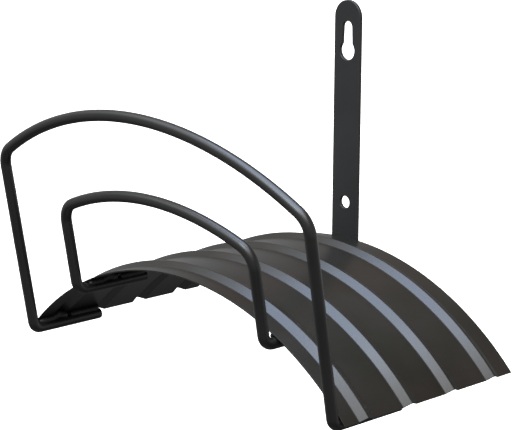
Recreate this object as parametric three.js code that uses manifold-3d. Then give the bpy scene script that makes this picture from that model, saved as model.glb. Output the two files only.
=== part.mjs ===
// Wall-mounted garden hose hanger in welded, powder-coated steel. A ribbed sheet saddle carries the coil,
// two round-rod hoops stop it sliding off the front, and a flat strap holds the saddle to the wall.
// Millimetres, +Z up, +Y into the wall, X along the wall. The origin is on the strap's back face,
// midway between the centres of its two fixing screws.

import * as THREE from "three";
import { mergeVertices } from "three/addons/utils/BufferGeometryUtils.js";
import Module from "manifold-3d";

// ---- Driving dimensions ----

// Left between pieces that meet along a curved face.
const FIT_GAP = 0.3;
const LEG_GAP = 0.4; // left above the hoops' legs, where the start of the bottom bend passes under the sheet

// Fixing holes in the strap. The upper screw seats in the top of the keyhole's slot.
const SCREW_SPACING = 154;
const SCREW_HOLE_DIAMETER = 11;
const KEYHOLE_HEAD_DIAMETER = 16.7;
const KEYHOLE_DROP = 20.1; // from the seated upper screw down to the keyhole's large hole
const SLOT_TOP_WIDTH = 10.8;
const SLOT_FOOT_WIDTH = 12.4;

const STRAP_WIDTH = 30;
const STRAP_THICKNESS = 3.2;
const STRAP_HEAD = 23.5; // from the upper screw's centre to the strap's round top
const STRAP_FOOT_LENGTH = 76; // how far the bent foot reaches forward under the saddle
const STRAP_INNER_BEND = 1.5;

const CREST_DROP = 31.1; // from the lower screw's centre down to the top of the saddle's crest
const SADDLE_CHORD = 381; // straight across from end to end
const SADDLE_RADIUS = 263; // to the upper face of the flats between the ridges
const SADDLE_DEPTH = 199.6; // from back edge to front edge
const SHEET_THICKNESS = 1.2;
const RIDGE_COUNT = 4;
const RIDGE_BACK_MARGIN = 25.2; // from the back edge to the first ridge's apex
const RIDGE_FRONT_MARGIN = 23.5; // from the last ridge's apex to the front edge
const RIDGE_WIDTH = 16;
const RIDGE_HEIGHT = 4.1;
const RIDGE_APEX_WIDTH = 2;

const ROD_DIAMETER = 9.525;
const HOOP_LEAN = THREE.MathUtils.degToRad(10.1); // both hoops tip forward by this much
const OUTER_LEG_INSET = 5.5; // along the sheet, from the saddle's end to above the rod's centre
const INNER_HALF_WIDTH = 113.6; // from the hanger's middle to the inner rod's centre

// Heights are measured up the hoop's own plane from its legs' centre line. Bends are inside radii.
// bendStart is where the bottom bend starts, ahead of the saddle's front edge.
const OUTER_HOOP = {
  name: "outer",
  cornerHeight: 164,
  archRise: 54.8,
  topBend: 16,
  bottomBend: 2.5,
  bendStart: -1.7,
  legLength: 74,
};
const INNER_HOOP = {
  name: "inner",
  cornerHeight: 75.2,
  archRise: 25,
  topBend: 14.6,
  bottomBend: 5,
  bendStart: 1.5,
  legLength: 75,
};

// Weld beads are fillets this wide on each face. Each fills one flat of the saddle but for its margins.
const WELD_LEG = 5;
const WELD_MARGIN = 2.5; // from a bead's end to the ridge or edge beside it

// How finely round shapes are cut into facets.
const SADDLE_STEPS = 40;
const ROD_SIDES = 12;
const BEND_STEPS = 8;
const ARCH_STEPS = 20;
const HOLE_SEGMENTS = 12;

// ---- Derived places ----

const ROD_RADIUS = ROD_DIAMETER / 2;
const RIDGE_PITCH = (SADDLE_DEPTH - RIDGE_BACK_MARGIN - RIDGE_FRONT_MARGIN) / (RIDGE_COUNT - 1);
const UPPER_SCREW_Z = SCREW_SPACING / 2;
const LOWER_SCREW_Z = -SCREW_SPACING / 2;
const CREST_Z = LOWER_SCREW_Z - CREST_DROP;
const SADDLE_BACK_Y = -STRAP_THICKNESS; // the saddle's back edge butts against the strap's front face
const SADDLE_FRONT_Y = SADDLE_BACK_Y - SADDLE_DEPTH;
const ARC_CENTRE_Z = CREST_Z - SADDLE_RADIUS;
const UNDERSIDE_RADIUS = SADDLE_RADIUS - SHEET_THICKNESS;
const SADDLE_END_ANGLE = Math.asin(SADDLE_CHORD / 2 / SADDLE_RADIUS);
const LEG_RADIUS = UNDERSIDE_RADIUS - LEG_GAP - ROD_RADIUS; // from the saddle's arc centre to a leg's centre
const OUTER_LEG_ANGLE = SADDLE_END_ANGLE - OUTER_LEG_INSET / SADDLE_RADIUS;
const INNER_LEG_ANGLE = Math.asin(INNER_HALF_WIDTH / LEG_RADIUS);

// Height of the saddle's underside, between ridges, at a distance x from the middle.
function undersideZ(x) {
  return ARC_CENTRE_Z + Math.sqrt(UNDERSIDE_RADIUS ** 2 - x ** 2);
}

// The foot lies level under the curved sheet. Its bend stays below the sheet's back edge.
const FOOT_TOP_Z = undersideZ(STRAP_WIDTH / 2) - STRAP_INNER_BEND;

// ---- Materials ----

function coatedSteel(color, roughness) {
  return new THREE.MeshStandardMaterial({ color, roughness, metalness: 0.1 });
}

const MATERIALS = {
  saddle: () => coatedSteel(0x35332f, 0.38),
  strap: () => coatedSteel(0x323232, 0.5),
  rod: () => coatedSteel(0x242422, 0.35),
  weld: () => coatedSteel(0x2a2a28, 0.45),
};

// ---- Solids, joins and cuts ----

const wasm = await Module();
wasm.setup();

function toSolid(geometry) {
  const bare = geometry.clone();
  bare.deleteAttribute("normal");
  bare.deleteAttribute("uv");
  const merged = mergeVertices(bare, 1e-4);
  const vertProperties = new Float32Array(merged.getAttribute("position").array);
  const triVerts = new Uint32Array(merged.index.array);
  return new wasm.Manifold(new wasm.Mesh({ numProp: 3, vertProperties, triVerts }));
}

function toGeometry(solid) {
  const mesh = solid.getMesh();
  const geometry = new THREE.BufferGeometry();
  geometry.setAttribute("position", new THREE.BufferAttribute(mesh.vertProperties, 3));
  geometry.setIndex(new THREE.BufferAttribute(mesh.triVerts, 1));
  geometry.computeVertexNormals();
  return geometry;
}

function part(name, geometry, material) {
  const mesh = new THREE.Mesh(geometry, material());
  mesh.name = name;
  return mesh;
}

// A shape drawn in X and Z, extruded forward (towards -Y) from backY.
function extrudeForward(shape, backY, depth) {
  const geometry = new THREE.ExtrudeGeometry(shape, {
    depth,
    bevelEnabled: false,
    curveSegments: HOLE_SEGMENTS,
  });
  const axes = new THREE.Matrix4().makeBasis(
    new THREE.Vector3(1, 0, 0),
    new THREE.Vector3(0, 0, 1),
    new THREE.Vector3(0, -1, 0),
  );
  return geometry.applyMatrix4(axes.setPosition(0, backY, 0));
}

// ---- Saddle ----

// An arc about the saddle's axis, run from the right-hand end over the crest to the left-hand end.
class SaddleArc extends THREE.Curve {
  getPoint(t, target = new THREE.Vector3()) {
    const angle = SADDLE_END_ANGLE * (1 - 2 * t);
    return target.set(
      SADDLE_RADIUS * Math.sin(angle),
      SADDLE_BACK_Y,
      ARC_CENTRE_Z + SADDLE_RADIUS * Math.cos(angle),
    );
  }
}

// Distance forward from the saddle's back edge to a ridge's apex. The rearmost ridge is number 0.
function ridgeApex(number) {
  return RIDGE_BACK_MARGIN + number * RIDGE_PITCH;
}

// The sheet's face seen along the arc: distance forward from the back edge, and height above the flats.
function saddleFace() {
  const face = [new THREE.Vector2(0, 0)];
  for (let i = 0; i < RIDGE_COUNT; i += 1) {
    const apex = ridgeApex(i);
    face.push(new THREE.Vector2(apex - RIDGE_WIDTH / 2, 0));
    face.push(new THREE.Vector2(apex - RIDGE_APEX_WIDTH / 2, RIDGE_HEIGHT));
    face.push(new THREE.Vector2(apex + RIDGE_APEX_WIDTH / 2, RIDGE_HEIGHT));
    face.push(new THREE.Vector2(apex + RIDGE_WIDTH / 2, 0));
  }
  face.push(new THREE.Vector2(SADDLE_DEPTH, 0));
  return face;
}

function makeSaddle() {
  const upper = saddleFace();
  const lower = upper.map((p) => new THREE.Vector2(p.x, p.y - SHEET_THICKNESS)).reverse();
  const section = new THREE.Shape([...upper, ...lower]);
  const geometry = new THREE.ExtrudeGeometry(section, {
    steps: SADDLE_STEPS,
    extrudePath: new SaddleArc(),
  });
  return part("saddle", geometry, MATERIALS.saddle);
}

// ---- Wall strap ----

// The flat bar seen from its side: distance forward from the wall, and height.
function bentBarProfile() {
  const outerBend = STRAP_INNER_BEND + STRAP_THICKNESS;
  const bendCentreZ = FOOT_TOP_Z + STRAP_INNER_BEND;
  const topZ = UPPER_SCREW_Z + STRAP_HEAD;
  const tip = STRAP_THICKNESS + STRAP_FOOT_LENGTH;
  const profile = new THREE.Shape();
  profile.moveTo(0, topZ);
  profile.lineTo(0, bendCentreZ);
  profile.absarc(outerBend, bendCentreZ, outerBend, Math.PI, 1.5 * Math.PI, false);
  profile.lineTo(tip, FOOT_TOP_Z - STRAP_THICKNESS);
  profile.lineTo(tip, FOOT_TOP_Z);
  profile.absarc(outerBend, bendCentreZ, STRAP_INNER_BEND, 1.5 * Math.PI, Math.PI, true);
  profile.lineTo(STRAP_THICKNESS, topZ);
  return profile;
}

function bentBar() {
  const geometry = new THREE.ExtrudeGeometry(bentBarProfile(), {
    depth: STRAP_WIDTH,
    bevelEnabled: false,
    curveSegments: BEND_STEPS,
  });
  const axes = new THREE.Matrix4().makeBasis(
    new THREE.Vector3(0, -1, 0),
    new THREE.Vector3(0, 0, 1),
    new THREE.Vector3(-1, 0, 0),
  );
  return geometry.applyMatrix4(axes.setPosition(STRAP_WIDTH / 2, 0, 0));
}

// The waste above the strap's round top: a block with a half-round bite out of its lower side.
function headWaste() {
  const radius = STRAP_WIDTH / 2;
  const centreZ = UPPER_SCREW_Z + STRAP_HEAD - radius;
  const shape = new THREE.Shape();
  shape.moveTo(radius, centreZ);
  shape.absarc(0, centreZ, radius, 0, Math.PI, false);
  shape.lineTo(-2 * radius, centreZ);
  shape.lineTo(-2 * radius, centreZ + 2 * radius);
  shape.lineTo(2 * radius, centreZ + 2 * radius);
  shape.lineTo(2 * radius, centreZ);
  return shape;
}

function roundHole(diameter, z) {
  return new THREE.Shape().absarc(0, z, diameter / 2, 0, 2 * Math.PI, false);
}

// The keyhole's slot, from inside its large hole up to the seat of the upper screw.
function keyholeSlot() {
  const seatRadius = SLOT_TOP_WIDTH / 2;
  const slot = new THREE.Shape();
  slot.moveTo(-SLOT_FOOT_WIDTH / 2, UPPER_SCREW_Z - KEYHOLE_DROP);
  slot.lineTo(SLOT_FOOT_WIDTH / 2, UPPER_SCREW_Z - KEYHOLE_DROP);
  slot.lineTo(seatRadius, UPPER_SCREW_Z);
  slot.absarc(0, UPPER_SCREW_Z, seatRadius, 0, Math.PI, false);
  return slot;
}

// A punch goes right through the strap, from behind it to ahead of it.
function punch(shape) {
  return toSolid(extrudeForward(shape, STRAP_THICKNESS, 3 * STRAP_THICKNESS));
}

function makeWallStrap() {
  const keyholeHead = roundHole(KEYHOLE_HEAD_DIAMETER, UPPER_SCREW_Z - KEYHOLE_DROP);
  const strap = toSolid(bentBar())
    .subtract(punch(headWaste()))
    .subtract(punch(keyholeHead).add(punch(keyholeSlot())))
    .subtract(punch(roundHole(SCREW_HOLE_DIAMETER, LOWER_SCREW_Z)));
  return part("wall_strap", toGeometry(strap), MATERIALS.strap);
}

// ---- Hoops ----

// A line through given stations. Equal steps visit the stations in turn, so a rod swept along it has
// its rings where the bends need them.
class StationLine extends THREE.Curve {
  constructor(stations) {
    super();
    this.stations = stations;
  }

  station(u) {
    return this.stations[Math.round(u * (this.stations.length - 1))];
  }

  getPointAt(u, target = new THREE.Vector3()) {
    return target.copy(this.station(u).point);
  }

  getTangentAt(u, target = new THREE.Vector3()) {
    return target.copy(this.station(u).tangent);
  }
}

// A hoop's own upright plane leans forward: x runs along the wall, and height runs up the plane.
const UP_THE_HOOP = new THREE.Vector3(0, -Math.sin(HOOP_LEAN), Math.cos(HOOP_LEAN));
const FORWARD = new THREE.Vector3(0, -1, 0);

// The left-hand half of a hoop, from its leg's cut end to the top of its arch.
function halfHoop(hoop, legAngle) {
  const halfWidth = LEG_RADIUS * Math.sin(legAngle);
  const legZ = ARC_CENTRE_Z + LEG_RADIUS * Math.cos(legAngle);
  const stations = [];

  // The bottom bend turns the leg, which runs forward, up into the leaning plane.
  const bottomRadius = hoop.bottomBend + ROD_RADIUS;
  const turn = Math.PI / 2 - HOOP_LEAN;
  const bendY = SADDLE_FRONT_Y - hoop.bendStart;
  const cornerY = bendY - bottomRadius * Math.tan(turn / 2);
  const legEnd = new THREE.Vector3(-halfWidth, cornerY + hoop.legLength, legZ);
  stations.push({ point: legEnd, tangent: FORWARD.clone() });
  for (let i = 0; i <= BEND_STEPS; i += 1) {
    const angle = (turn * i) / BEND_STEPS;
    const forward = bottomRadius * Math.sin(angle);
    const rise = bottomRadius * (1 - Math.cos(angle));
    stations.push({
      point: new THREE.Vector3(-halfWidth, bendY - forward, legZ + rise),
      tangent: new THREE.Vector3(0, -Math.cos(angle), Math.sin(angle)),
    });
  }

  // A place and heading in the leaning plane.
  const inPlane = (x, height, headingX, headingUp) => ({
    point: new THREE.Vector3(x, cornerY, legZ).addScaledVector(UP_THE_HOOP, height),
    tangent: new THREE.Vector3(headingX, 0, 0).addScaledVector(UP_THE_HOOP, headingUp),
  });

  // The arch is one circle through both corners. A smaller circle rounds each corner into it.
  const archRadius = (halfWidth ** 2 + hoop.archRise ** 2) / (2 * hoop.archRise);
  const archCentre = hoop.cornerHeight + hoop.archRise - archRadius;
  const topRadius = hoop.topBend + ROD_RADIUS;
  const bendX = halfWidth - topRadius;
  const bendHeight = archCentre + Math.sqrt((archRadius - topRadius) ** 2 - bendX ** 2);
  const archAngle = Math.atan2(bendX, bendHeight - archCentre);
  for (let i = 0; i <= BEND_STEPS; i += 1) {
    const angle = ((Math.PI / 2 - archAngle) * i) / BEND_STEPS;
    const across = -bendX - topRadius * Math.cos(angle);
    const height = bendHeight + topRadius * Math.sin(angle);
    stations.push(inPlane(across, height, Math.sin(angle), Math.cos(angle)));
  }
  const halfArch = ARCH_STEPS / 2;
  for (let i = 1; i <= halfArch; i += 1) {
    const angle = -archAngle * (1 - i / halfArch);
    const across = archRadius * Math.sin(angle);
    const height = archCentre + archRadius * Math.cos(angle);
    stations.push(inPlane(across, height, Math.cos(angle), -Math.sin(angle)));
  }
  return stations;
}

// The right-hand half is the left-hand half's mirror image, run backwards from the arch's top.
function mirrored(station) {
  return {
    point: new THREE.Vector3(-station.point.x, station.point.y, station.point.z),
    tangent: new THREE.Vector3(station.tangent.x, -station.tangent.y, -station.tangent.z),
  };
}

function makeHoop(hoop, legAngle) {
  const left = halfHoop(hoop, legAngle);
  const right = left.slice(0, -1).reverse().map(mirrored);
  const line = new StationLine([...left, ...right]);
  const section = new THREE.Shape().absarc(0, 0, ROD_RADIUS, 0, 2 * Math.PI, false);
  const geometry = new THREE.ExtrudeGeometry(section, {
    steps: line.stations.length - 1,
    curveSegments: ROD_SIDES / 2,
    extrudePath: line,
  });
  return part(`${hoop.name}_hoop`, geometry, MATERIALS.rod);
}

// ---- Weld beads ----

// Where a bead starts and ends on one flat of the saddle, as distances forward from the back edge.
// Flat 0 lies behind the rearmost ridge, and flat RIDGE_COUNT lies ahead of the last one.
function beadSpan(flat) {
  const start = flat === 0 ? 0 : ridgeApex(flat - 1) + RIDGE_WIDTH / 2;
  const end = flat === RIDGE_COUNT ? SADDLE_DEPTH : ridgeApex(flat) - RIDGE_WIDTH / 2;
  return { start: start + WELD_MARGIN, end: end - WELD_MARGIN };
}

// The fillet between a leg and the sheet above it, on the leg's side towards the middle.
// along is distance from the leg's centre towards the middle, and down is depth below the sheet.
function legFillet(legAngle) {
  const offset = ROD_RADIUS + FIT_GAP;
  const rodCentreDown = LEG_GAP + ROD_RADIUS;
  const sheetDown = (along) => FIT_GAP + along ** 2 / (2 * UNDERSIDE_RADIUS);
  const rootAngle = Math.acos((rodCentreDown - FIT_GAP) / offset);
  const root = offset * Math.sin(rootAngle);
  const toe = root + WELD_LEG;
  const rodEnd = rootAngle + WELD_LEG / offset;
  const onRod = (angle) => [offset * Math.sin(angle), rodCentreDown - offset * Math.cos(angle)];
  const outline = [[toe, sheetDown(toe)]];
  const facets = 4;
  for (let i = 0; i <= facets; i += 1) {
    outline.push(onRod(rodEnd + ((rootAngle - rodEnd) * i) / facets));
  }
  outline[outline.length - 1][1] = sheetDown(root);
  return outline.map(([along, down]) => {
    const radius = UNDERSIDE_RADIUS - down;
    const x = radius * Math.sin(legAngle) - along * Math.cos(legAngle);
    const z = ARC_CENTRE_Z + radius * Math.cos(legAngle) + along * Math.sin(legAngle);
    return new THREE.Vector2(x, z);
  });
}

// The fillet between the strap foot's right-hand edge and the sheet above it.
function footFillet() {
  const root = STRAP_WIDTH / 2 + FIT_GAP;
  const toe = root + WELD_LEG;
  return [
    new THREE.Vector2(root, undersideZ(root) - FIT_GAP),
    new THREE.Vector2(toe, undersideZ(toe) - FIT_GAP),
    new THREE.Vector2(root, undersideZ(root) - FIT_GAP - WELD_LEG),
  ];
}

function makeBead(name, outline, side, flat) {
  const shape = new THREE.Shape(outline.map((p) => new THREE.Vector2(side * p.x, p.y)));
  const { start, end } = beadSpan(flat);
  const geometry = extrudeForward(shape, SADDLE_BACK_Y - start, end - start);
  return part(name, geometry, MATERIALS.weld);
}

function makeBeads() {
  const sides = { left: -1, right: 1 };
  const legs = { outer: OUTER_LEG_ANGLE, inner: INNER_LEG_ANGLE };
  const beads = [];
  for (const [sideName, side] of Object.entries(sides)) {
    for (const [legName, angle] of Object.entries(legs)) {
      const outline = legFillet(angle);
      const name = `weld_${legName}_leg_${sideName}`;
      beads.push(makeBead(`${name}_front`, outline, side, RIDGE_COUNT));
      beads.push(makeBead(`${name}_rear`, outline, side, RIDGE_COUNT - 1));
    }
    const name = `weld_foot_${sideName}`;
    beads.push(makeBead(`${name}_front`, footFillet(), side, 1));
    beads.push(makeBead(`${name}_rear`, footFillet(), side, 0));
  }
  return beads;
}

// ---- Assembly ----

const hanger = new THREE.Group();
hanger.name = "hose_hanger";
hanger.add(makeSaddle());
hanger.add(makeWallStrap());
hanger.add(makeHoop(OUTER_HOOP, OUTER_LEG_ANGLE));
hanger.add(makeHoop(INNER_HOOP, INNER_LEG_ANGLE));
hanger.add(...makeBeads());

export default hanger;
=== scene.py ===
"""A wall-mounted garden hose hanger in welded, powder-coated steel, and the studio that it stands in.

A ribbed sheet saddle carries the coiled hose, two round-rod hoops keep the coil from sliding off the
front, and a flat strap with a keyhole holds the saddle to the wall. Sizes are in metres, +Z is up and
+Y goes into the wall. Places come from the packed frame, and each piece stands for its node there.
"""

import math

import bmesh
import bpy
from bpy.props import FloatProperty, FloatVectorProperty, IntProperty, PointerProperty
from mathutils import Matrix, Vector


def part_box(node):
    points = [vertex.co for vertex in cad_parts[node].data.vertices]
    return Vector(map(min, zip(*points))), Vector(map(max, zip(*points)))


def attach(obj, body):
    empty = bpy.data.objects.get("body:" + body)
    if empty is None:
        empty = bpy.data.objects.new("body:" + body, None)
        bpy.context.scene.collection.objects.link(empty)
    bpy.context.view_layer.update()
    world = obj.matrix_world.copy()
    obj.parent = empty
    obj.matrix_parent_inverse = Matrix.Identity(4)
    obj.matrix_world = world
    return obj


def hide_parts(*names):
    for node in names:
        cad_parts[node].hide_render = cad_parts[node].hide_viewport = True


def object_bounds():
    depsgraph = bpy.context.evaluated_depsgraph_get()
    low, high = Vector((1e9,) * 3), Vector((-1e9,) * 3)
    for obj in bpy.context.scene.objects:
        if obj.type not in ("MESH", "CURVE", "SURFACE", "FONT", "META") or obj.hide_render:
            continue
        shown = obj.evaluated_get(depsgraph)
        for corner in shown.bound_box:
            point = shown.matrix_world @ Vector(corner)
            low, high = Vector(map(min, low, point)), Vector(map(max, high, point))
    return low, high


bl_info = {
    "name": "Hose Hanger",
    "version": (1, 0, 0),
    "blender": (4, 5, 0),
    "location": "3D View > Sidebar > Hose Hanger",
    "description": "Builds a wall-mounted garden hose hanger with its powder coat, and a plain studio",
    "category": "Add Mesh",
}

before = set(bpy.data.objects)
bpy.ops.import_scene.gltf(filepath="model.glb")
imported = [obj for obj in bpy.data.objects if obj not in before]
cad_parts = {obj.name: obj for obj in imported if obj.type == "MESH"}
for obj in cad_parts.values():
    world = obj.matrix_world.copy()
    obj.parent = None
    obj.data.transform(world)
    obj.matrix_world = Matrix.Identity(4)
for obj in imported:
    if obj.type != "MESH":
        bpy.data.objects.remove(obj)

CAD_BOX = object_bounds()
BODY = "root"

SADDLE_LOW, SADDLE_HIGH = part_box("saddle")
STRAP_LOW, STRAP_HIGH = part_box("wall_strap")
ALONG_X = Vector((1, 0, 0))
FORWARD = Vector((0, -1, 0))
UP = Vector((0, 0, 1))
ORIGIN = Vector((0, 0, 0))

MERGE_DISTANCE = 1e-6
CREASE = math.radians(40)  # a turn sharper than this stays sharp in the shading
CUT_EDGE = math.radians(60)  # a turn sharper than this is a cut edge, which gets rounded

# The room's light, by height of direction: -1 is straight down and 1 is straight up. The back has a brown
# band and a green one, which tint the saddle's gloss.
FRONT_OF_ROOM = ((-1.0, 0.22), (-0.7, 0.10), (-0.2, 0.44), (0.3, 0.5), (0.5, 1.2), (0.75, 3.0), (1.0, 2.5))
BACK_OF_ROOM = (
    (-1.0, 0.22), (-0.75, 0.10), (-0.45, 0.13), (-0.15, 0.54), (0.2, 0.50), (0.45, (0.30, 0.29, 0.29)),
    (0.6, (0.42, 0.19, 0.10)), (0.72, (0.10, 0.17, 0.09)), (0.85, 1.0), (1.0, 2.5),
)

# Each soft light: its name, the setting that holds its power, the way to it from the hanger, how far off it
# is, the side of its square, and its tint.
PANELS = (
    ("overhead_soft_box", "overhead", (0.05, -0.10, 1.0), 1.5, 1.3, (0.47, 0.63, 0.96)),
    ("side_panel", "side", (0.5, -0.3, 0.85), 1.6, 1.0, (1.0, 0.98, 0.90)),
    ("front_panel", "front", (0.15, -0.65, 0.75), 1.6, 0.6, (0.86, 0.94, 1.0)),
)


# ---- Sizes and colours that a user may change ----


def length(name, description, default):
    return FloatProperty(
        name=name, description=description, default=default, precision=5, unit="LENGTH", subtype="DISTANCE"
    )


def angle(name, description, degrees):
    return FloatProperty(
        name=name, description=description, default=math.radians(degrees), unit="ROTATION", subtype="ANGLE"
    )


def colour(name, description, default):
    return FloatVectorProperty(
        name=name, description=description, default=default, size=3, min=0.0, max=1.0, subtype="COLOR"
    )


def share(name, description, default):
    return FloatProperty(
        name=name, description=description, default=default, min=0.0, max=1.0, subtype="FACTOR"
    )


def power(name, description, default):
    return FloatProperty(name=name, description=description, default=default, min=0.0, unit="POWER")


class SaddleSettings(bpy.types.PropertyGroup):
    """Sizes of the ribbed sheet that carries the coil."""

    sheet: length("Sheet", "Thickness of the sheet", 0.0012)
    radius: length("Radius", "Radius of the flats' upper face", 0.263)
    ridge_count: IntProperty(name="Ridges", description="Ridges rolled along the arc", default=4, min=1)
    back_margin: length("Back margin", "From the back edge to the first ridge's apex", 0.0252)
    front_margin: length("Front margin", "From the last ridge's apex to the front edge", 0.0235)
    ridge_width: length("Ridge width", "Width of a ridge at its base", 0.016)
    ridge_height: length("Ridge height", "Height of a ridge above the flats", 0.0041)
    apex_width: length("Apex width", "Width of a ridge's top", 0.002)
    base_round: length("Base rounding", "How far a ridge's base is rounded into the flats", 0.0006)
    apex_round: length("Apex rounding", "How far a ridge's shoulders are rounded", 0.0004)
    edge_round: length("Edge rounding", "Rounding of the sheet's cut edges under the coat", 0.00025)
    steps: IntProperty(name="Steps", description="Steps along the arc", default=96, min=8)


class StrapSettings(bpy.types.PropertyGroup):
    """Sizes of the flat bar that holds the saddle to the wall."""

    thickness: length("Thickness", "Thickness of the flat bar", 0.0032)
    inner_bend: length("Inner bend", "Inside radius of the bend into the foot", 0.0015)
    screw_spacing: length("Screw spacing", "Between the centres of the two screws", 0.154)
    screw_hole: length("Screw hole", "Diameter of the lower screw's hole", 0.011)
    keyhole_head: length("Keyhole head", "Diameter of the keyhole's large hole", 0.0167)
    keyhole_drop: length("Keyhole drop", "From the seated screw down to the large hole", 0.0201)
    slot_top: length("Slot top", "Width of the slot where the screw seats", 0.0108)
    slot_foot: length("Slot foot", "Width of the slot at the large hole's centre", 0.0124)
    edge_round: length("Edge rounding", "Rounding of the bar's edges", 0.0005)


class OuterHoopSettings(bpy.types.PropertyGroup):
    """Sizes of the tall hoop. Heights run up its leaning plane from the legs' centre line."""

    corner_height: length("Corner height", "Height of the corners", 0.164)
    arch_rise: length("Arch rise", "Rise of the arch above the corners", 0.0548)
    top_bend: length("Top bend", "Inside radius of the corners", 0.016)
    bottom_bend: length("Bottom bend", "Inside radius of the bends into the legs", 0.0025)
    leg_length: length("Leg length", "From the corner below to the leg's cut end", 0.074)


class InnerHoopSettings(bpy.types.PropertyGroup):
    """Sizes of the low hoop. Heights run up its leaning plane from the legs' centre line."""

    corner_height: length("Corner height", "Height of the corners", 0.0752)
    arch_rise: length("Arch rise", "Rise of the arch above the corners", 0.025)
    top_bend: length("Top bend", "Inside radius of the corners", 0.0146)
    bottom_bend: length("Bottom bend", "Inside radius of the bends into the legs", 0.005)
    leg_length: length("Leg length", "From the corner below to the leg's cut end", 0.075)


class RodSettings(bpy.types.PropertyGroup):
    """Sizes that both hoops share."""

    diameter: length("Diameter", "Diameter of the rod", 0.009525)
    lean: angle("Lean", "How far the hoops tip forward", 10.1)
    end_round: length("End rounding", "Rounding of the legs' cut ends", 0.0003)
    sides: IntProperty(name="Sides", description="Sides of the rod's section", default=32, min=8)


class WeldSettings(bpy.types.PropertyGroup):
    """Sizes of the weld beads under the saddle."""

    throat: length("Bead radius", "Radius of a bead's section", 0.0026)
    pitch: length("Ripple pitch", "Distance from one ripple to the next", 0.0016)
    ripple: share("Ripple depth", "How much a bead narrows between ripples", 0.12)
    drift: share("Ripple slant", "How far a ripple leans along the bead", 0.5)
    overrun: length("Overrun", "Room left for a leg's beads past the sheet's edge and the cut end", 0.001)
    lift: share("Lift", "How far a bead follows the sheet up into a ridge", 0.6)
    swell: share("Swell", "How much a bead's radius grows with the hollow under a ridge", 0.35)


class CoatSettings(bpy.types.PropertyGroup):
    """Colours and gloss of the powder coat."""

    saddle: colour("Saddle", "Coat on the sheet", (0.0040, 0.0046, 0.0034))
    saddle_tint: colour("Saddle tint", "Warmer coat in the sheet's patches", (0.0070, 0.0066, 0.0052))
    strap: colour("Strap", "Coat on the flat bar", (0.010, 0.010, 0.010))
    strap_tint: colour("Strap tint", "Paler coat in the bar's patches", (0.014, 0.014, 0.014))
    rod: colour("Rod", "Coat on the hoops", (0.005, 0.005, 0.0047))
    rod_tint: colour("Rod tint", "Paler coat in the hoops' patches", (0.008, 0.008, 0.0076))
    weld: colour("Weld", "Coat over the beads", (0.010, 0.010, 0.010))
    weld_tint: colour("Weld tint", "Paler coat on the beads' crowns", (0.016, 0.016, 0.015))
    worn: colour("Worn edge", "Coat rubbed thin along the edges", (0.034, 0.033, 0.031))


class StudioSettings(bpy.types.PropertyGroup):
    """The camera, the floor and the lights."""

    azimuth: angle("Azimuth", "Turn of the camera round the hanger, from straight ahead", 45.714)
    elevation: angle("Elevation", "Height of the camera above the horizon", 12.614)
    roll: angle("Roll", "Turn of the camera about its own line of sight", 0.321)
    distance: length("Distance", "From the camera to the point that it looks at", 1.660672)
    aim_across: length("Aim across", "How far right of the saddle's crest the camera looks", -0.077542)
    aim_up: length("Aim up", "How far above the saddle's crest the camera looks", 0.018965)
    lens: FloatProperty(name="Lens", description="Focal length in millimetres", default=132.34)
    floor_drop: length("Floor drop", "From the wall fixing down to the floor", 1.0)
    floor_radius: length("Floor radius", "Radius of the round floor", 14.0)
    overhead: power("Overhead", "Power of the soft box above", 32.0)
    side: power("Side", "Power of the panel above the front right", 8.4)
    front: power("Front", "Power of the panel above the front", 10.0)


# ---- Powder coat ----

# Features for each metre.
PATCH_SCALE = 16.0
RUB_SCALE = 60.0
PEEL_SCALE = 700.0
GRAIN_SCALE = 2600.0

PEEL_DEPTH = 0.0002
GRAIN_DEPTH = 0.00005
GRAIN_SHARE = 0.3  # strength of the grain's bump, as a share of the orange peel's
EDGE_REACH = 0.0006  # how far from an edge the coat is rubbed
MOST_RUBBED = 0.6
MOST_SPECKED = 0.25
UNEVEN = 0.03  # how far the patches, and then the grain, move the roughness each way

# Roughness and strength of orange peel on each kind of piece.
FINISHES = {"saddle": (0.34, 0.12), "strap": (0.42, 0.2), "rod": (0.32, 0.05), "weld": (0.58, 0.2)}


def noise(nodes, links, coordinates, scale, detail):
    """Adds a noise texture over the piece. Scale is in features for each metre."""
    texture = nodes.new("ShaderNodeTexNoise")
    texture.inputs["Scale"].default_value = scale
    texture.inputs["Detail"].default_value = detail
    links.new(coordinates, texture.inputs["Vector"])
    return texture.outputs["Fac"]


def remap(nodes, links, value, low, high, to_low, to_high):
    """Adds a node that takes low..high to to_low..to_high, and holds it there."""
    ranged = nodes.new("ShaderNodeMapRange")
    for socket, number in zip(("From Min", "From Max", "To Min", "To Max"), (low, high, to_low, to_high)):
        ranged.inputs[socket].default_value = number
    links.new(value, ranged.inputs["Value"])
    return ranged.outputs["Result"]


def blend_colours(nodes, links, factor, first, second):
    """Adds a colour mix. First and second are sockets or plain colours."""
    mix = nodes.new("ShaderNodeMix")
    mix.data_type = "RGBA"
    links.new(factor, mix.inputs["Factor"])
    for socket, value in ((mix.inputs[6], first), (mix.inputs[7], second)):
        if isinstance(value, bpy.types.NodeSocket):
            links.new(value, socket)
        else:
            socket.default_value = (*value, 1.0)
    return mix.outputs[2]


def bump(nodes, links, height, strength, distance):
    """Adds a bump that follows a height."""
    made = nodes.new("ShaderNodeBump")
    made.inputs["Strength"].default_value = strength
    made.inputs["Distance"].default_value = distance
    links.new(height, made.inputs["Height"])
    return made


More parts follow.
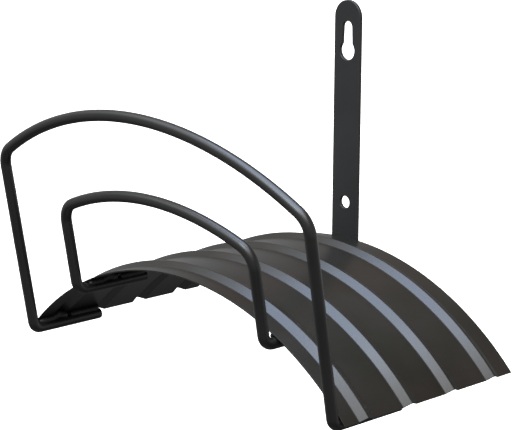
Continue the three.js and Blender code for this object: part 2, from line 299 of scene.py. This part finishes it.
def edge_mask(nodes, links, reach):
    """Adds a mask that rises where the surface turns over an edge within reach."""
    rounded = nodes.new("ShaderNodeBevel")
    rounded.inputs["Radius"].default_value = reach
    surface = nodes.new("ShaderNodeNewGeometry")
    agreement = nodes.new("ShaderNodeVectorMath")
    agreement.operation = "DOT_PRODUCT"
    links.new(rounded.outputs["Normal"], agreement.inputs[0])
    links.new(surface.outputs["Normal"], agreement.inputs[1])
    return remap(nodes, links, agreement.outputs["Value"], 0.995, 0.9, 0.0, 1.0)


def powder_coat(name, base, tint, worn, roughness, peel):
    """A semi-gloss powder coat: patches, fine grain, orange peel, and edges that are rubbed thin."""
    material = bpy.data.materials.new(name)
    material.use_nodes = True
    nodes, links = material.node_tree.nodes, material.node_tree.links
    shader = nodes["Principled BSDF"]
    place = nodes.new("ShaderNodeTexCoord").outputs["Object"]

    patches = noise(nodes, links, place, PATCH_SCALE, 3.0)
    grain = noise(nodes, links, place, GRAIN_SCALE, 2.0)
    peel_height = noise(nodes, links, place, PEEL_SCALE, 2.0)

    patch_share = remap(nodes, links, patches, 0.35, 0.65, 0.0, 1.0)
    coated = blend_colours(nodes, links, patch_share, base, tint)
    speck_share = remap(nodes, links, grain, 0.55, 0.75, 0.0, MOST_SPECKED)
    speckled = blend_colours(nodes, links, speck_share, coated, worn)

    rubbed = nodes.new("ShaderNodeMath")
    rubbed.operation = "MULTIPLY"
    links.new(edge_mask(nodes, links, EDGE_REACH), rubbed.inputs[0])
    rub = noise(nodes, links, place, RUB_SCALE, 4.0)
    links.new(remap(nodes, links, rub, 0.4, 0.62, 0.0, MOST_RUBBED), rubbed.inputs[1])
    colour_seen = blend_colours(nodes, links, rubbed.outputs["Value"], speckled, worn)
    links.new(colour_seen, shader.inputs["Base Color"])

    uneven = remap(nodes, links, patches, 0.3, 0.7, roughness - UNEVEN, roughness + UNEVEN)
    fine = remap(nodes, links, grain, 0.3, 0.7, -UNEVEN, UNEVEN)
    total = nodes.new("ShaderNodeMath")
    total.operation = "ADD"
    links.new(uneven, total.inputs[0])
    links.new(fine, total.inputs[1])
    links.new(total.outputs["Value"], shader.inputs["Roughness"])

    peel_bump = bump(nodes, links, peel_height, peel, PEEL_DEPTH)
    grain_bump = bump(nodes, links, grain, GRAIN_SHARE * peel, GRAIN_DEPTH)
    links.new(peel_bump.outputs["Normal"], grain_bump.inputs["Normal"])
    links.new(grain_bump.outputs["Normal"], shader.inputs["Normal"])
    return material


def finish_for(kind, coat):
    """The powder coat for one kind of piece, in the user's colours."""
    roughness, peel = FINISHES[kind]
    base, tint = getattr(coat, kind), getattr(coat, f"{kind}_tint")
    return powder_coat(f"{kind}_powder_coat", base, tint, coat.worn, roughness, peel)


# ---- Mesh helpers ----


def verts_of(geometry):
    return [part for part in geometry if isinstance(part, bmesh.types.BMVert)]


def faces_of(geometry):
    return [part for part in geometry if isinstance(part, bmesh.types.BMFace)]


def swing(bm, geometry, centre, axis, turn, steps):
    """Carries the open end of a shape round an axis, and returns the new end."""
    made = bmesh.ops.spin(bm, geom=geometry, cent=centre, axis=axis, angle=turn, steps=steps)
    return made["geom_last"]


def carry(bm, geometry, move):
    """Carries the open end of a shape straight on, and returns the new end."""
    made = bmesh.ops.spin(bm, geom=geometry, cent=ORIGIN, axis=UP, dvec=move, angle=0.0, steps=1)
    return made["geom_last"]


def round_edges(bm, edges, offset, segments):
    bmesh.ops.bevel(
        bm, geom=edges, offset=offset, segments=segments, profile=0.5, affect="EDGES", material=-1,
        clamp_overlap=True,
    )


def sharp_edges(bm, limit):
    """The edges whose two faces turn by more than limit."""
    return [edge for edge in bm.edges if edge.is_manifold and edge.calc_face_angle() > limit]


def mirror_across(bm):
    """Completes a shape that is built on one side of the hanger's middle."""
    bmesh.ops.mirror(
        bm, geom=bm.verts[:] + bm.edges[:] + bm.faces[:], axis="X", merge_dist=MERGE_DISTANCE
    )


def even_shading(piece):
    """Lets the large flat faces keep their own shading next to the small rounded edges."""
    modifier = piece.modifiers.new("even_shading", "WEIGHTED_NORMAL")
    modifier.keep_sharp = True


def add_piece(bm, name, nodes, material):
    """Turns a bmesh into a finished piece that stands for some of the frame's nodes."""
    bmesh.ops.remove_doubles(bm, verts=bm.verts, dist=MERGE_DISTANCE)
    bmesh.ops.recalc_face_normals(bm, faces=bm.faces)
    for face in bm.faces:
        face.smooth = True
    for edge in sharp_edges(bm, CREASE):
        edge.smooth = False
    mesh = bpy.data.meshes.new(name)
    bm.to_mesh(mesh)
    bm.free()
    mesh.materials.append(material)
    piece = bpy.data.objects.new(name, mesh)
    bpy.context.scene.collection.objects.link(piece)
    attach(piece, BODY)
    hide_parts(*nodes)
    return piece


# ---- Saddle ----


def saddle_crest(saddle):
    """Height of the flats' upper face at the saddle's crest."""
    return SADDLE_HIGH.z - saddle.ridge_height


def saddle_centre(saddle):
    """The middle of the saddle's arc, at its back edge."""
    return Vector((0, SADDLE_HIGH.y, saddle_crest(saddle) - saddle.radius))


def saddle_half_angle(saddle):
    """Half the turn of the saddle's arc. The ridges reach furthest out along the wall."""
    return math.asin(SADDLE_HIGH.x / (saddle.radius + saddle.ridge_height))


def ridge_apexes(saddle):
    """Distances forward from the back edge to the ridges' apexes."""
    first = saddle.back_margin
    last = SADDLE_HIGH.y - SADDLE_LOW.y - saddle.front_margin
    pitch = (last - first) / (saddle.ridge_count - 1)
    return [first + number * pitch for number in range(saddle.ridge_count)]


def draw_line(bm, points):
    """Draws a line through the points, and returns its vertices."""
    verts = [bm.verts.new(point) for point in points]
    for start, end in zip(verts, verts[1:]):
        bm.edges.new((start, end))
    return verts


def saddle_section(bm, saddle):
    """Draws the sheet's upper face at the crest as a line from back to front, with rounded ridges."""
    top = saddle_crest(saddle)
    back = SADDLE_HIGH.y
    half_base, half_apex = saddle.ridge_width / 2, saddle.apex_width / 2
    points = [Vector((0, back, top))]
    for apex in ridge_apexes(saddle):
        points.append(Vector((0, back - apex + half_base, top)))
        points.append(Vector((0, back - apex + half_apex, top + saddle.ridge_height)))
        points.append(Vector((0, back - apex - half_apex, top + saddle.ridge_height)))
        points.append(Vector((0, back - apex - half_base, top)))
    points.append(Vector((0, SADDLE_LOW.y, top)))
    line = draw_line(bm, points)
    shoulders = [vert for vert in line if vert.co.z > top]
    bases = [vert for vert in line[1:-1] if vert not in shoulders]
    for corners, rounding in ((shoulders, saddle.apex_round), (bases, saddle.base_round)):
        bmesh.ops.bevel(
            bm, geom=corners, offset=rounding, segments=4, profile=0.5, affect="VERTICES", material=-1
        )


def build_saddle(saddle):
    bm = bmesh.new()
    saddle_section(bm, saddle)
    strip = bmesh.ops.extrude_edge_only(bm, edges=bm.edges[:])["geom"]
    bmesh.ops.translate(bm, verts=verts_of(strip), vec=-saddle.sheet * UP)

    centre, half_angle = saddle_centre(saddle), saddle_half_angle(saddle)
    bmesh.ops.rotate(bm, verts=bm.verts, cent=centre, matrix=Matrix.Rotation(-half_angle, 3, "Y"))
    swing(bm, bm.verts[:] + bm.edges[:] + bm.faces[:], centre, (0, 1, 0), 2 * half_angle, saddle.steps)
    bmesh.ops.recalc_face_normals(bm, faces=bm.faces)
    round_edges(bm, sharp_edges(bm, CUT_EDGE), saddle.edge_round, 2)
    return bm


# ---- Wall strap ----

ROUND_STEPS = 24  # round the strap's head and its holes
SEAT_STEPS = 12
FOOT_BEND_STEPS = 10


def foot_top(strap):
    """Height of the foot's upper face."""
    return STRAP_LOW.z + strap.thickness


def slot_meets_head(strap):
    """Where the slot's right-hand side leaves the keyhole's large hole, from that hole's centre."""
    foot, seat, drop = strap.slot_foot / 2, strap.slot_top / 2, strap.keyhole_drop
    taper = seat - foot
    a = taper**2 + drop**2
    b = 2 * foot * taper
    c = foot**2 - (strap.keyhole_head / 2) ** 2
    along = (-b + math.sqrt(b**2 - 4 * a * c)) / (2 * a)
    return Vector((foot + taper * along, 0, drop * along))


def strap_outline(bm, strap):
    """Draws the right half of the strap's upright, seen from the front, in the plane of its back face.

    From the top the line rounds the head, goes down the edge to where the foot's bend starts, and comes
    back up the middle, round the right half of the lower hole and of the keyhole.
    """
    half_width = STRAP_HIGH.x
    head = Vector((0, 0, STRAP_HIGH.z - half_width))
    seated = Vector((0, 0, strap.screw_spacing / 2))
    lower = -seated
    keyhole = seated - strap.keyhole_drop * UP
    bend_height = foot_top(strap) + strap.inner_bend
    meeting = slot_meets_head(strap)

    tip = [bm.verts.new(Vector((0, 0, STRAP_HIGH.z)))]

    def line_to(x, z):
        place = verts_of(tip)[0].co
        return carry(bm, tip, Vector((x, 0, z)) - place)

    tip = swing(bm, tip, head, (0, 1, 0), math.pi / 2, ROUND_STEPS)
    tip = line_to(half_width, bend_height)
    tip = line_to(0, bend_height)
    tip = line_to(0, lower.z - strap.screw_hole / 2)
    tip = swing(bm, tip, lower, (0, 1, 0), -math.pi, ROUND_STEPS)
    tip = line_to(0, keyhole.z - strap.keyhole_head / 2)
    tip = swing(bm, tip, keyhole, (0, 1, 0), math.atan2(meeting.x, meeting.z) - math.pi, ROUND_STEPS)
    tip = line_to(strap.slot_top / 2, seated.z)
    swing(bm, tip, seated, (0, 1, 0), -math.pi / 2, SEAT_STEPS)
    bmesh.ops.contextual_create(bm, geom=bm.edges[:])


def in_plane(verts, axis, place):
    return all(abs(vert.co[axis] - place) < MERGE_DISTANCE for vert in verts)


def build_strap(strap):
    bm = bmesh.new()
    strap_outline(bm, strap)
    front = bmesh.ops.extrude_face_region(bm, geom=bm.faces[:], use_keep_orig=True)["geom"]
    bmesh.ops.translate(bm, verts=verts_of(front), vec=strap.thickness * FORWARD)

    bend_centre = Vector((0, -(strap.thickness + strap.inner_bend), foot_top(strap) + strap.inner_bend))
    end = [face for face in bm.faces if in_plane(face.verts, 2, bend_centre.z)]
    end += list({edge for face in end for edge in face.edges})
    end += list({vert for face in faces_of(end) for vert in face.verts})
    end = swing(bm, end, bend_centre, (1, 0, 0), -math.pi / 2, FOOT_BEND_STEPS)
    carry(bm, end, (bend_centre.y - STRAP_LOW.y) * FORWARD)

    middle = [face for face in bm.faces if in_plane(face.verts, 0, 0.0)]
    bmesh.ops.delete(bm, geom=middle, context="FACES")
    bmesh.ops.recalc_face_normals(bm, faces=bm.faces)
    round_edges(bm, sharp_edges(bm, CUT_EDGE), strap.edge_round, 3)
    mirror_across(bm)
    return bm


# ---- Hoops ----

BOTTOM_BEND_STEPS = 12
TOP_BEND_STEPS = 16
HALF_ARCH_STEPS = 40


def leg_centre(node, rod):
    """The middle of the cut end of a hoop's right-hand leg."""
    low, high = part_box(node)
    return Vector((high.x - rod.diameter / 2, high.y, low.z + rod.diameter / 2))


def build_hoop(node, hoop, rod):
    """Bends a rod into the left half of a hoop, from its leg's cut end to the top, and mirrors it."""
    bm = bmesh.new()
    radius = rod.diameter / 2
    right_leg = leg_centre(node, rod)
    half_width = right_leg.x
    start = Vector((-half_width, right_leg.y, right_leg.z))
    up_the_hoop = Vector((0, -math.sin(rod.lean), math.cos(rod.lean)))
    across_the_hoop = up_the_hoop.cross(ALONG_X)

    upright = Matrix.Translation(start) @ Matrix.Rotation(math.pi / 2, 4, "X")
    bmesh.ops.create_circle(bm, cap_ends=False, segments=rod.sides, radius=radius, matrix=upright)
    cut_end = bm.edges[:]
    end = bm.verts[:] + bm.edges[:]

    # The leg runs forward, and a tight bend turns it up into the leaning plane.
    turn = math.pi / 2 - rod.lean
    bottom_radius = hoop.bottom_bend + radius
    reach = bottom_radius * math.tan(turn / 2)
    corner = start + hoop.leg_length * FORWARD
    bend_start = corner - reach * FORWARD
    end = carry(bm, end, bend_start - start)
    end = swing(bm, end, bend_start + bottom_radius * UP, ALONG_X, -turn, BOTTOM_BEND_STEPS)

    # The arch is one circle through both corners, and a smaller circle rounds each corner into it.
    arch_radius = (half_width**2 + hoop.arch_rise**2) / (2 * hoop.arch_rise)
    arch_centre = hoop.corner_height + hoop.arch_rise - arch_radius
    top_radius = hoop.top_bend + radius
    bend_x = half_width - top_radius
    bend_height = arch_centre + math.sqrt((arch_radius - top_radius) ** 2 - bend_x**2)
    arch_turn = math.atan2(bend_x, bend_height - arch_centre)
    on_the_middle = Vector((0, corner.y, corner.z))
    top_bend_centre = on_the_middle - bend_x * ALONG_X + bend_height * up_the_hoop
    end = carry(bm, end, (bend_height - reach) * up_the_hoop)
    end = swing(bm, end, top_bend_centre, across_the_hoop, math.pi / 2 - arch_turn, TOP_BEND_STEPS)
    middle_of_arch = on_the_middle + arch_centre * up_the_hoop
    swing(bm, end, middle_of_arch, across_the_hoop, arch_turn, HALF_ARCH_STEPS)

    bmesh.ops.contextual_create(bm, geom=cut_end)
    bmesh.ops.recalc_face_normals(bm, faces=bm.faces)
    round_edges(bm, cut_end, rod.end_round, 3)
    mirror_across(bm)
    return bm


# ---- Weld beads ----

# How far a bead's middle lies from what it joins, as a share of its radius, so that it bites in.
FROM_ROD = 0.35
FROM_SHEET = 0.7
FROM_FOOT = 0.5
BELOW_FOOT_TOP = 0.1

BEAD_SIDES = 16
RINGS_FOR_A_RIPPLE = 6
FEWEST_RINGS = 8
TAPER = 1.5  # length of a bead's rounded end, as a share of its radius
BLUNT_END = 0.12  # width at the very end, as a share of the full width


def leg_bead_line(node, side, saddle, rod, weld):
    """Where a leg's bead runs in X and Z, the way it faces, and the way out to the sheet.

    It bites into the rod and the sheet.
    """
    leg = leg_centre(node, rod)
    arc = saddle_centre(saddle)
    to_sheet = Vector((leg.x - arc.x, 0, leg.z - arc.z))
    gap = saddle.radius - saddle.sheet - to_sheet.length - rod.diameter / 2
    to_sheet.normalize()
    to_middle = Vector((-to_sheet.z, 0, to_sheet.x))
    from_rod = rod.diameter / 2 + FROM_ROD * weld.throat
    towards_sheet = rod.diameter / 2 + gap - FROM_SHEET * weld.throat
    towards_middle = math.sqrt(from_rod**2 - towards_sheet**2)
    place = Vector((leg.x, 0, leg.z)) + towards_sheet * to_sheet + towards_middle * to_middle
    facing = (to_middle - to_sheet).normalized()
    return mirror_x(place, side), mirror_x(facing, side), mirror_x(to_sheet, side)


def leg_bead_spans(hoop_node, bead_name, weld):
    """The room for a leg's two beads: from just past the sheet's front edge to just past the cut end."""
    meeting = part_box(f"{bead_name}_rear")[0].y
    leg_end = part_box(hoop_node)[1].y
    return {
        "front": (SADDLE_LOW.y - weld.overrun, meeting),
        "rear": (meeting, leg_end + weld.overrun),
    }


def foot_bead_line(side, strap, weld):
    """The same for a bead beside the strap's foot, where the way out to the sheet is up."""
    beside = STRAP_HIGH.x + FROM_FOOT * weld.throat
    place = Vector((beside, 0, foot_top(strap) - BELOW_FOOT_TOP * weld.throat))
    facing = Vector((1, 0, -1)).normalized()
    return mirror_x(place, side), mirror_x(facing, side), UP


def foot_bead_spans(bead_name):
    """The room for the beads beside the strap's foot."""
    spans = {}
    for end in ("front", "rear"):
        low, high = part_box(f"{bead_name}_{end}")
        spans[end] = (low.y, high.y)
    return spans


def mirror_x(vector, side):
    return Vector((side * vector.x, vector.y, vector.z))


def sheet_rise(saddle, y):
    """How far the sheet stands out from its flats at a place along Y."""
    half_base, half_apex = saddle.ridge_width / 2, saddle.apex_width / 2
    from_apex = min(abs(SADDLE_HIGH.y - apex - y) for apex in ridge_apexes(saddle))
    climb = (half_base - from_apex) / (half_base - half_apex)
    return saddle.ridge_height * max(0.0, min(1.0, climb))


def bead_width(run, whole, weld):
    """How wide a bead is, as a share of its full width, at a distance from its start."""
    ripple = 1 - weld.ripple * ((run / weld.pitch) % 1.0) ** 2
    from_end = min(run, whole - run) / (TAPER * weld.throat)
    taper = math.sqrt(1 - (1 - min(from_end, 1.0)) ** 2)
    return ripple * max(taper, BLUNT_END)


def build_bead(line, span, saddle, weld):
    """Lays a bead of overlapping ripples forward along a span. It swells to fill the hollow under a ridge.

    The span keeps slack at each end for a full-width ripple's slant, so the narrow ends stop short of it.
    """
    bm = bmesh.new()
    place, facing, outward = line
    slack = weld.drift * weld.throat
    start, whole = span[1] - slack, span[1] - span[0] - 2 * slack
    rings = max(FEWEST_RINGS, round(whole / weld.pitch * RINGS_FOR_A_RIPPLE))

    def ring(number):
        run = whole * number / rings
        rise = sheet_rise(saddle, start - run)
        middle = Vector((place.x, start - run, place.z)) + weld.lift * rise * outward
        return middle, bead_width(run, whole, weld) * (1 + weld.swell * rise / weld.throat)

    centre, width = ring(0)
    upright = Matrix.Translation(centre) @ Matrix.Rotation(math.pi / 2, 4, "X")
    bmesh.ops.create_circle(
        bm, cap_ends=True, segments=BEAD_SIDES, radius=weld.throat * width, matrix=upright
    )
    for vert in bm.verts:
        vert.co.y -= weld.drift * (vert.co - centre).dot(facing)
    end = bm.verts[:] + bm.edges[:] + bm.faces[:]
    for number in range(1, rings + 1):
        middle, wider = ring(number)
        end = carry(bm, end, middle - centre)
        growth = Vector((wider / width,) * 3)
        bmesh.ops.scale(bm, vec=growth, space=Matrix.Translation(-middle), verts=verts_of(end))
        centre, width = middle, wider
    return bm


# ---- Studio ----


def plain_material(name, base, roughness, glow):
    material = bpy.data.materials.new(name)
    material.use_nodes = True
    shader = material.node_tree.nodes["Principled BSDF"]
    shader.inputs["Base Color"].default_value = (*base, 1.0)
    shader.inputs["Roughness"].default_value = roughness
    shader.inputs["Emission Color"].default_value = (*base, 1.0)
    shader.inputs["Emission Strength"].default_value = glow
    return material


def add_floor(studio):
    """A round pale floor. It doesn't light the hanger from below or show in its gloss."""
    bm = bmesh.new()
    low = Matrix.Translation(-studio.floor_drop * UP)
    bmesh.ops.create_circle(bm, cap_ends=True, segments=96, radius=studio.floor_radius, matrix=low)
    mesh = bpy.data.meshes.new("floor")
    bm.to_mesh(mesh)
    bm.free()
    mesh.materials.append(plain_material("pale_floor", (0.9, 0.9, 0.9), 0.9, 1.0))
    floor = bpy.data.objects.new("floor", mesh)
    bpy.context.scene.collection.objects.link(floor)
    floor.visible_diffuse = False
    floor.visible_glossy = False


def add_panel(name, direction, distance, size, watts, tint):
    """A square soft box that faces the hanger from a direction."""
    light = bpy.data.lights.new(name, "AREA")
    light.shape = "SQUARE"
    light.size = size
    light.energy = watts
    light.color = tint
    lamp = bpy.data.objects.new(name, light)
    target = (CAD_BOX[0] + CAD_BOX[1]) / 2
    lamp.location = target + distance * direction.normalized()
    lamp.rotation_euler = (-direction).to_track_quat("-Z", "Y").to_euler()
    bpy.context.scene.collection.objects.link(lamp)


def height_ramp(nodes, links, height, stops):
    """Adds a ramp of grey or coloured light over the direction's height, from -1 below to 1 above."""
    ramp = nodes.new("ShaderNodeValToRGB")
    elements = ramp.color_ramp.elements
    while len(elements) < len(stops):
        elements.new(0.5)
    for element, (place, light) in zip(elements, stops):
        element.position = (place + 1) / 2
        element.color = (*light, 1.0) if isinstance(light, tuple) else (light, light, light, 1.0)
    links.new(remap(nodes, links, height, -1.0, 1.0, 0.0, 1.0), ramp.inputs["Fac"])
    return ramp.outputs["Color"]


def add_surroundings():
    """A white backdrop for the eye, and a dim room for light and gloss, with its own front and back."""
    world = bpy.data.worlds.new("studio_room")
    bpy.context.scene.world = world
    world.use_nodes = True
    nodes, links = world.node_tree.nodes, world.node_tree.links
    room = nodes["Background"]
    direction = nodes.new("ShaderNodeTexCoord").outputs["Generated"]
    split = nodes.new("ShaderNodeSeparateXYZ")
    links.new(direction, split.inputs["Vector"])
    front = height_ramp(nodes, links, split.outputs["Z"], FRONT_OF_ROOM)
    back = height_ramp(nodes, links, split.outputs["Z"], BACK_OF_ROOM)
    behind = remap(nodes, links, split.outputs["Y"], -0.3, 0.3, 0.0, 1.0)
    links.new(blend_colours(nodes, links, behind, front, back), room.inputs["Color"])
    backdrop = nodes.new("ShaderNodeBackground")
    backdrop.inputs["Color"].default_value = (1, 1, 1, 1)
    seen = nodes.new("ShaderNodeLightPath").outputs["Is Camera Ray"]
    either = nodes.new("ShaderNodeMixShader")
    links.new(seen, either.inputs["Fac"])
    links.new(room.outputs["Background"], either.inputs[1])
    links.new(backdrop.outputs["Background"], either.inputs[2])
    links.new(either.outputs["Shader"], nodes["World Output"].inputs["Surface"])


def add_camera(studio, crest):
    """A long lens from the front right, a little above. crest is the saddle's highest point at the back."""
    a, e, r = studio.azimuth, studio.elevation, studio.roll
    back = Vector((math.sin(a) * math.cos(e), -math.cos(a) * math.cos(e), math.sin(e)))
    level = Vector((math.cos(a), math.sin(a), 0))
    above = back.cross(level)
    right = math.cos(r) * level + math.sin(r) * above
    top = math.cos(r) * above - math.sin(r) * level
    lens = bpy.data.cameras.new("camera")
    lens.sensor_width = 36.0
    lens.lens = studio.lens
    lens.clip_start, lens.clip_end = 0.05, 60.0
    camera = bpy.data.objects.new("camera", lens)
    place = crest + studio.aim_across * right + studio.aim_up * top + studio.distance * back
    camera.matrix_world = Matrix.Translation(place) @ Matrix((right, top, back)).transposed().to_4x4()
    bpy.context.scene.collection.objects.link(camera)
    bpy.context.scene.camera = camera


# ---- Operators ----


class HOSEHANGER_OT_saddle(bpy.types.Operator):
    """Rolls the ribbed sheet that carries the coil"""

    bl_idname = "hosehanger.saddle"
    bl_label = "Saddle"

    def execute(self, context):
        scene = context.scene
        finish = finish_for("saddle", scene.hanger_coat)
        bm = build_saddle(scene.hanger_saddle)
        even_shading(add_piece(bm, "ribbed_saddle", ["saddle"], finish))
        return {"FINISHED"}


class HOSEHANGER_OT_strap(bpy.types.Operator):
    """Cuts, punches and bends the flat bar that goes on the wall"""

    bl_idname = "hosehanger.strap"
    bl_label = "Wall strap"

    def execute(self, context):
        scene = context.scene
        finish = finish_for("strap", scene.hanger_coat)
        bm = build_strap(scene.hanger_strap)
        even_shading(add_piece(bm, "bent_wall_strap", ["wall_strap"], finish))
        return {"FINISHED"}


class HOSEHANGER_OT_hoops(bpy.types.Operator):
    """Bends the two rods that keep the coil on the saddle"""

    bl_idname = "hosehanger.hoops"
    bl_label = "Hoops"

    def execute(self, context):
        scene = context.scene
        finish = finish_for("rod", scene.hanger_coat)
        for node, hoop in (("outer_hoop", scene.hanger_outer_hoop), ("inner_hoop", scene.hanger_inner_hoop)):
            bm = build_hoop(node, hoop, scene.hanger_rod)
            even_shading(add_piece(bm, f"{node}_rod", [node], finish))
        return {"FINISHED"}


class HOSEHANGER_OT_welds(bpy.types.Operator):
    """Lays the beads that join the legs and the strap's foot to the saddle"""

    bl_idname = "hosehanger.welds"
    bl_label = "Weld beads"

    def execute(self, context):
        scene = context.scene
        weld = scene.hanger_weld
        finish = finish_for("weld", scene.hanger_coat)
        for side_name, side in (("left", -1), ("right", 1)):
            for hoop in ("outer_hoop", "inner_hoop"):
                name = f"weld_{hoop.split('_')[0]}_leg_{side_name}"
                line = leg_bead_line(hoop, side, scene.hanger_saddle, scene.hanger_rod, weld)
                self.lay_pair(name, line, leg_bead_spans(hoop, name, weld), scene, finish)
            name = f"weld_foot_{side_name}"
            line = foot_bead_line(side, scene.hanger_strap, weld)
            self.lay_pair(name, line, foot_bead_spans(name), scene, finish)
        return {"FINISHED"}

    def lay_pair(self, name, line, spans, scene, finish):
        for end, span in spans.items():
            bead = build_bead(line, span, scene.hanger_saddle, scene.hanger_weld)
            add_piece(bead, f"{name}_{end}_bead", [f"{name}_{end}"], finish)


class HOSEHANGER_OT_studio(bpy.types.Operator):
    """Sets out the pale floor, the soft lights and the camera"""

    bl_idname = "hosehanger.studio"
    bl_label = "Studio"

    def execute(self, context):
        scene = context.scene
        studio = scene.hanger_studio
        scene.view_settings.view_transform = "Standard"
        add_floor(studio)
        add_surroundings()
        for name, setting, direction, distance, size, tint in PANELS:
            add_panel(name, Vector(direction), distance, size, getattr(studio, setting), tint)
        crest = saddle_centre(scene.hanger_saddle) + scene.hanger_saddle.radius * UP
        add_camera(studio, crest)
        return {"FINISHED"}


class HOSEHANGER_PT_panel(bpy.types.Panel):
    """Lists the steps that build the hanger"""

    bl_label = "Hose Hanger"
    bl_idname = "HOSEHANGER_PT_panel"
    bl_space_type = "VIEW_3D"
    bl_region_type = "UI"
    bl_category = "Hose Hanger"

    def draw(self, context):
        for name, group in SETTINGS.items():
            box = self.layout.box()
            box.label(text=group.__doc__)
            settings = getattr(context.scene, name)
            for size in group.__annotations__:
                box.prop(settings, size)
        for operator in OPERATORS:
            self.layout.operator(operator.bl_idname)


SETTINGS = {
    "hanger_saddle": SaddleSettings,
    "hanger_strap": StrapSettings,
    "hanger_outer_hoop": OuterHoopSettings,
    "hanger_inner_hoop": InnerHoopSettings,
    "hanger_rod": RodSettings,
    "hanger_weld": WeldSettings,
    "hanger_coat": CoatSettings,
    "hanger_studio": StudioSettings,
}
OPERATORS = (
    HOSEHANGER_OT_saddle,
    HOSEHANGER_OT_strap,
    HOSEHANGER_OT_hoops,
    HOSEHANGER_OT_welds,
    HOSEHANGER_OT_studio,
)


def register():
    for name, group in SETTINGS.items():
        bpy.utils.register_class(group)
        setattr(bpy.types.Scene, name, PointerProperty(type=group))
    for operator in OPERATORS:
        bpy.utils.register_class(operator)
    bpy.utils.register_class(HOSEHANGER_PT_panel)


def unregister():
    bpy.utils.unregister_class(HOSEHANGER_PT_panel)
    for operator in reversed(OPERATORS):
        bpy.utils.unregister_class(operator)
    for name, group in reversed(SETTINGS.items()):
        delattr(bpy.types.Scene, name)
        bpy.utils.unregister_class(group)


def main():
    register()
    bpy.ops.hosehanger.saddle()
    bpy.ops.hosehanger.strap()
    bpy.ops.hosehanger.hoops()
    bpy.ops.hosehanger.welds()
    bpy.ops.hosehanger.studio()


if __name__ == "__main__":
    main()
